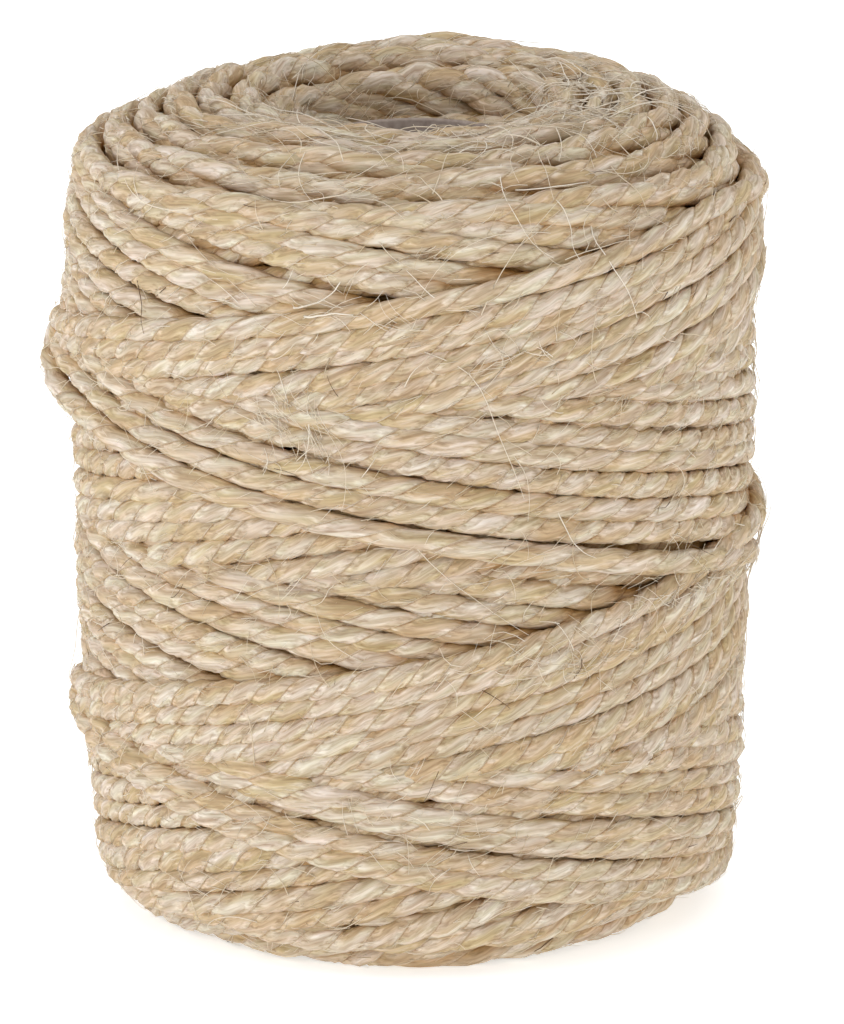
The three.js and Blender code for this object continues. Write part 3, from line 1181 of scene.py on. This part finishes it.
class FibreBed:
    """The crests of the winding, and the loose fibres that are laid on them."""

    def __init__(self, form, path):
        self.rng = np.random.default_rng(SEED + 2)
        self.form, self.path = form, path
        index, shows, surface = outer_turns(form, path, ROOT_COVER)
        self.crest = crest_map(surface, BED_REACH)
        self.roots = index[shows]
        self.rows, _ = form.rows_and_heights(
            path["distance"][self.roots], path["z"][self.roots])
        self.tubes, self.tones = [], []

    def any_tone(self, lowest):
        """Tone of one fibre: somewhere in its group's range, or now and then dark."""
        pale = self.rng.random() > DARK_SHARE
        return self.rng.uniform(lowest, lowest + TONE_RANGE) if pale else 0.0

    def add(self, kind, turn, row, heading, tone):
        """Lays one fibre that is rooted at a place round the core and a row of the form."""
        self.tubes.append(self.fibre_tube(kind, turn, row, heading))
        self.tones.append(np.full(self.tubes[-1].shape[:2], tone))

    def fibre_tube(self, kind, turn, row, heading):
        """One loose fibre as a thin tube that follows the turns under it, with one end or its
        middle standing clear."""
        rng, form, rings = self.rng, self.form, kind["rings"]
        length = rng.uniform(kind["short"], kind["long"])
        thick = kind["thick"] * rng.uniform(*THICKNESS_RANGE) / 2
        step = length / (rings - 1)
        curl = rng.normal(0, kind["curl"]) / (rings - 1)
        drift = rng.normal(0, FIBRE_WANDER, rings)
        tip = kind["lift"] * rng.uniform(*LIFT_RANGE)
        arched = rng.random() < ARCHED_SHARE
        points = []
        for ring in range(rings):
            share = ring / (rings - 1)
            row = np.clip(row, 1, form.rows - 2)
            at = int(round(row))
            column = int(round(turn * MAP_COLUMNS)) % MAP_COLUMNS
            rise = math.sin(share * math.pi) if arched else share**LIFT_POWER
            sunk = (1 - share) ** 3 + (share**3 if arched else 0)
            height = self.crest[column, at] + FIBRE_CLEAR + tip * rise - ROOT_DEPTH * sunk
            far = form.radius[at] + form.normal[at, 0] * height
            level = form.z[at] + form.normal[at, 1] * height
            angle = turn * FULL_TURN
            points.append(
                (far * math.sin(angle), -far * math.cos(angle), max(level, FIBRE_LOWEST)))
            turn += math.cos(heading) * step / max(far, TURNING_RADIUS) / FULL_TURN
            row += math.sin(heading) * step / MAP_STEP
            heading += curl + drift[ring]
        points = np.array(points)
        points[1:-1] = points[1:-1] / 2 + (points[:-2] + points[2:]) / 4
        tangent = unit(np.gradient(points, axis=0))
        side = unit(np.cross(tangent, ASIDE))[:, None, :]
        other = np.cross(tangent, side[:, 0])[:, None, :]
        width = thick * np.linspace(*FIBRE_TAPER, rings)[:, None, None]
        spoke = (np.arange(FIBRE_SIDES) * FULL_TURN / FIBRE_SIDES)[None, :, None]
        return points[:, None, :] + width * (np.cos(spoke) * side + np.sin(spoke) * other)

    def strew(self, kind):
        """Fibres of one kind all over the roll, along the plies of the turns that carry them."""
        z = self.path["z"]
        for _ in range(kind["all_over"]):
            pick = self.rng.integers(len(self.roots))
            here = self.roots[pick]
            rising = z[min(here + SLOPE_SAMPLES, len(z) - 1)] > z[here]
            heading = math.radians(kind["lean"]) + (STROKE_SLOPE if rising else -STROKE_SLOPE)
            heading += (math.pi * self.rng.integers(2)
                        + math.radians(kind["swing"]) * self.rng.uniform(-1, 1))
            self.add(kind, self.path["turn"][here], float(self.rows[pick]), heading,
                     self.any_tone(TONE_ALL_OVER))

    def tangle(self, place):
        """Fibres crowded round one place of the tables."""
        row = self.form.nearest_row(place)
        for _ in range(place["count"]):
            turn = (place["turn"] + self.rng.normal(0, place["reach"] / 2)) / 360
            away = self.rng.normal(0, place["spread"] / 2) / MAP_STEP
            heading = place["heading"] + place["swing"] * self.rng.uniform(-1, 1)
            heading += 180 * self.rng.integers(2)
            self.add(FIBRE_KINDS[place["kind"]], turn, row + away, math.radians(heading),
                     self.any_tone(TONE_TANGLED))

    def single(self, fibre):
        """One of the long fibres."""
        kind = {"short": fibre["length"], "long": fibre["length"], "thick": fibre["thick"],
                **LONG_FIBRE_SHAPE}
        self.add(kind, fibre["turn"] / 360, self.form.nearest_row(fibre),
                 math.radians(fibre["heading"]), fibre["tone"])


class ROLL_OT_loose_fibres(bpy.types.Operator):
    """Lay loose fibres over the turns"""

    bl_idname = "roll.loose_fibres"
    bl_label = "Loose fibres"

    def execute(self, context):
        bed = FibreBed(*settled_winding())
        for kind in FIBRE_KINDS.values():
            bed.strew(kind)
        for place in TANGLES:
            bed.tangle(place)
        for fibre in LONG_FIBRES:
            bed.single(fibre)
        piece = piece_of_tubes("loose_fibres", bed.tubes, {"tone": bed.tones})
        dress(piece, fibre_material(), "twine_winding")
        return {"FINISHED"}


class ROLL_OT_core_tube(bpy.types.Operator):
    """Make the card core tube with its worn lips"""

    bl_idname = "roll.core_tube"
    bl_label = "Core tube"

    def execute(self, context):
        low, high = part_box("core_tube")
        outer = (high.x - low.x) / 2
        inner, lip = outer - CARD_WALL * MM, CARD_LIP * MM
        shape = revolved(
            ((inner, low.z), (outer, low.z), (outer, high.z), (inner, high.z)), CARD_STEPS)
        # The rings of edges round the four corners are the ones that run level
        lips = [edge for edge in shape.edges
                if abs(edge.verts[0].co.z - edge.verts[1].co.z) < lip
                and abs(edge.verts[0].co.xy.length - edge.verts[1].co.xy.length) < lip]
        bmesh.ops.bevel(
            shape, geom=lips, offset=lip, affect="EDGES", segments=3, profile=0.5, material=-1)
        piece = finished_piece("card_core", shape)
        dress(piece, card_material(), "core_tube")
        return {"FINISHED"}


class ROLL_OT_stage(bpy.types.Operator):
    """Make the floor, the lights and the camera"""

    bl_idname = "roll.stage"
    bl_label = "Stage"

    def execute(self, context):
        scene = context.scene
        low, high = CAD_BOX
        shape = bmesh.new()
        bmesh.ops.create_grid(shape, x_segments=1, y_segments=1, size=FLOOR_SIZE)
        mesh = bpy.data.meshes.new("floor")
        shape.to_mesh(mesh)
        shape.free()
        floor = linked("floor", mesh)
        floor.location.z = low.z - FLOOR_GAP
        floor.data.materials.append(floor_material())
        for lamp in LAMPS:
            data = bpy.data.lights.new(lamp["name"], "AREA")
            data.shape = "DISK"
            data.size = lamp["size"]
            data.energy = lamp["power"]
            data.color = lamp["colour"]
            looking_at(
                lamp["name"], data, (low + high) / 2, lamp["turn"], lamp["rise"], lamp["away"])
        world = bpy.data.worlds.new("pale_room")
        world.use_nodes = True
        room = world.node_tree.nodes["Background"]
        room.inputs["Color"].default_value = WHITE
        room.inputs["Strength"].default_value = ROOM_LIGHT
        scene.world = world
        scene.view_settings.view_transform = "Standard"
        camera = bpy.data.cameras.new("camera")
        camera.sensor_width = SENSOR_WIDTH
        camera.lens = SENSOR_WIDTH * CAMERA_AWAY / (SHOWN_HEIGHT * MM)
        camera.clip_start, camera.clip_end = CAMERA_CLIP
        target = Vector(AIM) * MM + Vector(axis_shift())
        scene.camera = looking_at("camera", camera, target, 0, CAMERA_DROP, CAMERA_AWAY)
        return {"FINISHED"}


class ROLL_PT_panel(bpy.types.Panel):
    """Lists the roll's sizes, its colours and its making steps"""

    bl_idname = "ROLL_PT_panel"
    bl_label = "Twine roll"
    bl_space_type = "VIEW_3D"
    bl_region_type = "UI"
    bl_category = "Twine roll"

    def draw(self, context):
        for name in TwineSizes.__annotations__:
            self.layout.prop(context.scene.twine_sizes, name)
        for name in TwineColours.__annotations__:
            self.layout.prop(context.scene.twine_colours, name)
        for operator in OPERATORS:
            self.layout.operator(operator.bl_idname)


OPERATORS = (
    ROLL_OT_wind_twine, ROLL_OT_inner_turns, ROLL_OT_loose_fibres, ROLL_OT_core_tube,
    ROLL_OT_stage)
CLASSES = (TwineSizes, TwineColours) + OPERATORS + (ROLL_PT_panel,)


def register():
    for each in CLASSES:
        bpy.utils.register_class(each)
    bpy.types.Scene.twine_sizes = PointerProperty(type=TwineSizes)
    bpy.types.Scene.twine_colours = PointerProperty(type=TwineColours)


def unregister():
    del bpy.types.Scene.twine_sizes
    del bpy.types.Scene.twine_colours
    for each in reversed(CLASSES):
        bpy.utils.unregister_class(each)


def main():
    register()
    bpy.ops.roll.wind_twine()
    bpy.ops.roll.inner_turns()
    bpy.ops.roll.loose_fibres()
    bpy.ops.roll.core_tube()
    bpy.ops.roll.stage()


if __name__ == "__main__":
    main()
